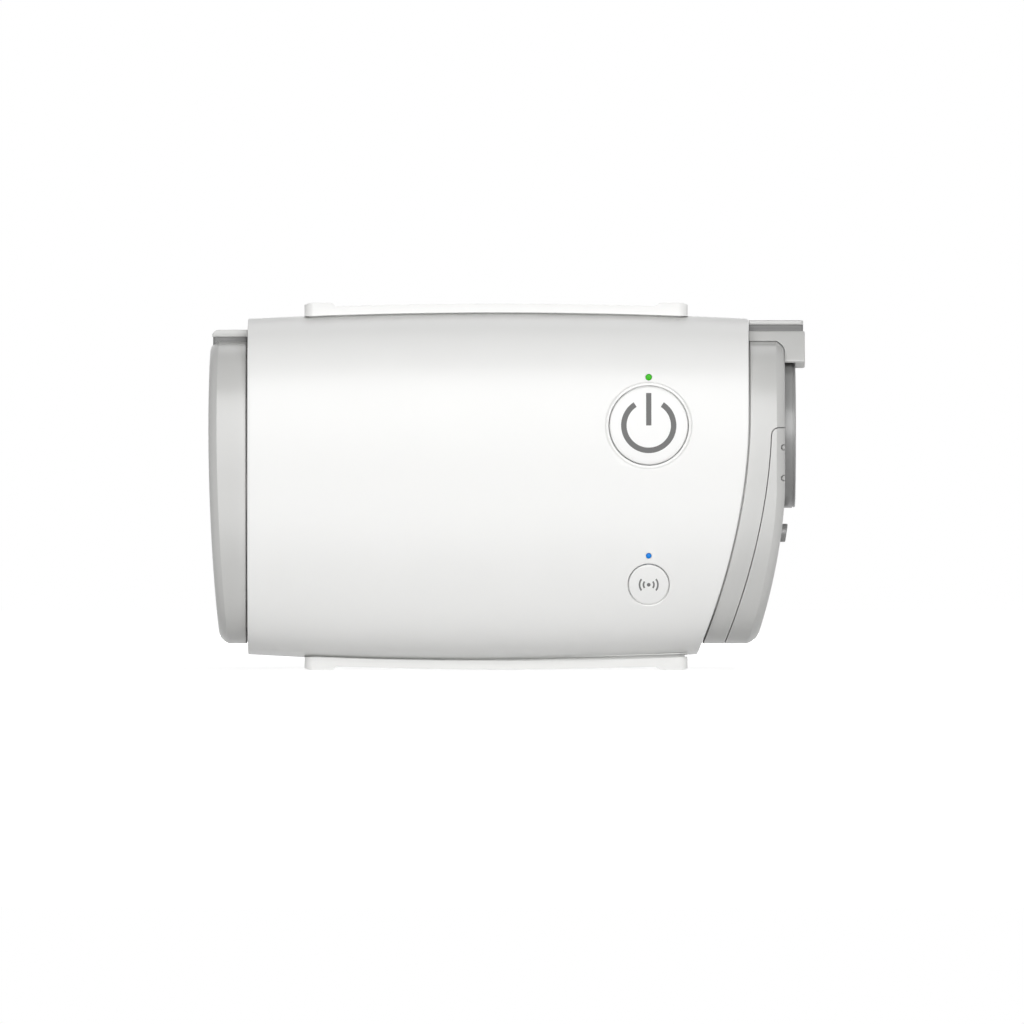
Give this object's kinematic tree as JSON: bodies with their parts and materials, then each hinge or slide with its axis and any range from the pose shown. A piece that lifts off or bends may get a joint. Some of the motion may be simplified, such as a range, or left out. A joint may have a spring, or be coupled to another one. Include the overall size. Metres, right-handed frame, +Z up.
{
  "type": "cpap machine",
  "caption": "Palm-sized travel CPAP machine: white rounded sleeve with two front buttons, grey intake and outlet ends, rails above and below.",
  "frame": {"origin": "on the surface the machine stands on, under the middle of its overall box", "axes": "+X from the filter cover towards the air outlet, -Y out of the face with the buttons, +Z up"},
  "size_m": [0.1362, 0.052, 0.084],
  "materials": {
    "shell_white": "warm white satin-gloss moulded plastic",
    "button_white": "white moulded plastic",
    "satin_grey": "satin silver-grey moulded plastic",
    "ring_grey": "darker satin grey moulded plastic",
    "chassis_grey": "matt grey inner moulding",
    "inner_black": "matt black inner moulding",
    "impeller_white": "white impeller moulding",
    "lens_green": "clear green light pipe",
    "lens_blue": "clear blue light pipe",
    "filter_felt": "white non-woven filter felt",
    "foam": "open-cell acoustic foam",
    "silicone": "soft grey silicone",
    "board_green": "green solder mask on board",
    "steel": "plain steel",
    "magnet_dark": "coated magnet",
    "copper": "wound copper on a laminated core",
    "contact_gold": "gold-plated contact",
    "lead_black": "black insulated lead"
  },
  "bodies": {
    "casing": {"sleeve_shell": "shell_white", "top_rail": "shell_white", "bottom_rail": "shell_white", "power_light": "lens_green", "wireless_light": "lens_blue", "intake_frame": "satin_grey", "outlet_bezel": "satin_grey", "outlet_panel": "satin_grey", "outlet_hood": "satin_grey", "outlet_ring": "ring_grey", "power_inlet_surround": "ring_grey", "power_inlet_tongue": "inner_black", "power_contact_1": "contact_gold", "power_contact_2": "contact_gold", "power_contact_3": "contact_gold", "outlet_seal": "silicone", "inner_chassis": "chassis_grey", "outlet_duct": "chassis_grey", "volute_base": "inner_black", "volute_lid": "inner_black", "bearing_front": "steel", "bearing_rear": "steel", "stator": "copper", "motor_can": "steel", "blower_mount_1": "silicone", "blower_mount_2": "silicone", "blower_mount_3": "silicone", "duct_bellows": "silicone", "flow_sensor": "inner_black", "intake_foam_upper": "foam", "intake_foam_lower": "foam", "main_board": "board_green", "board_screw_1": "steel", "board_screw_2": "steel", "board_screw_3": "steel", "board_screw_4": "steel", "processor_chip": "inner_black", "motor_driver_chip": "inner_black", "wireless_module": "steel", "power_led": "button_white", "wireless_led": "button_white", "power_switch": "inner_black", "wireless_switch": "inner_black", "capacitor_1": "steel", "capacitor_2": "steel", "motor_plug": "button_white", "inlet_plug": "button_white", "motor_lead": "lead_black", "inlet_lead": "lead_black"},
    "power_button_body": {"power_button": "button_white", "power_switch_plunger": "steel"},
    "wireless_button_body": {"wireless_button": "button_white", "wireless_switch_plunger": "steel"},
    "cover_body": {"filter_cover": "satin_grey", "air_filter": "filter_felt"},
    "rotor_body": {"impeller": "impeller_white", "rotor_shaft": "steel", "rotor_magnet": "magnet_dark"}
  },
  "joints": [
    {"name": "power_button_press", "type": "slide", "parent": "casing", "child": "power_button_body", "axis": [0, 1, 0], "range_m": [0, 0.0008], "stiffness_N_per_m": 1500},
    {"name": "wireless_button_press", "type": "slide", "parent": "casing", "child": "wireless_button_body", "axis": [0, 1, 0], "range_m": [0, 0.0006], "stiffness_N_per_m": 1500},
    {"name": "filter_cover_pull", "type": "slide", "parent": "casing", "child": "cover_body", "axis": [-1, 0, 0], "range_m": [0, 0.016]},
    {"name": "impeller_spin", "type": "hinge", "parent": "casing", "child": "rotor_body", "pos_m": [-0.014, 0, 0.03586], "axis": [0, 1, 0], "continuous": true}
  ]
}
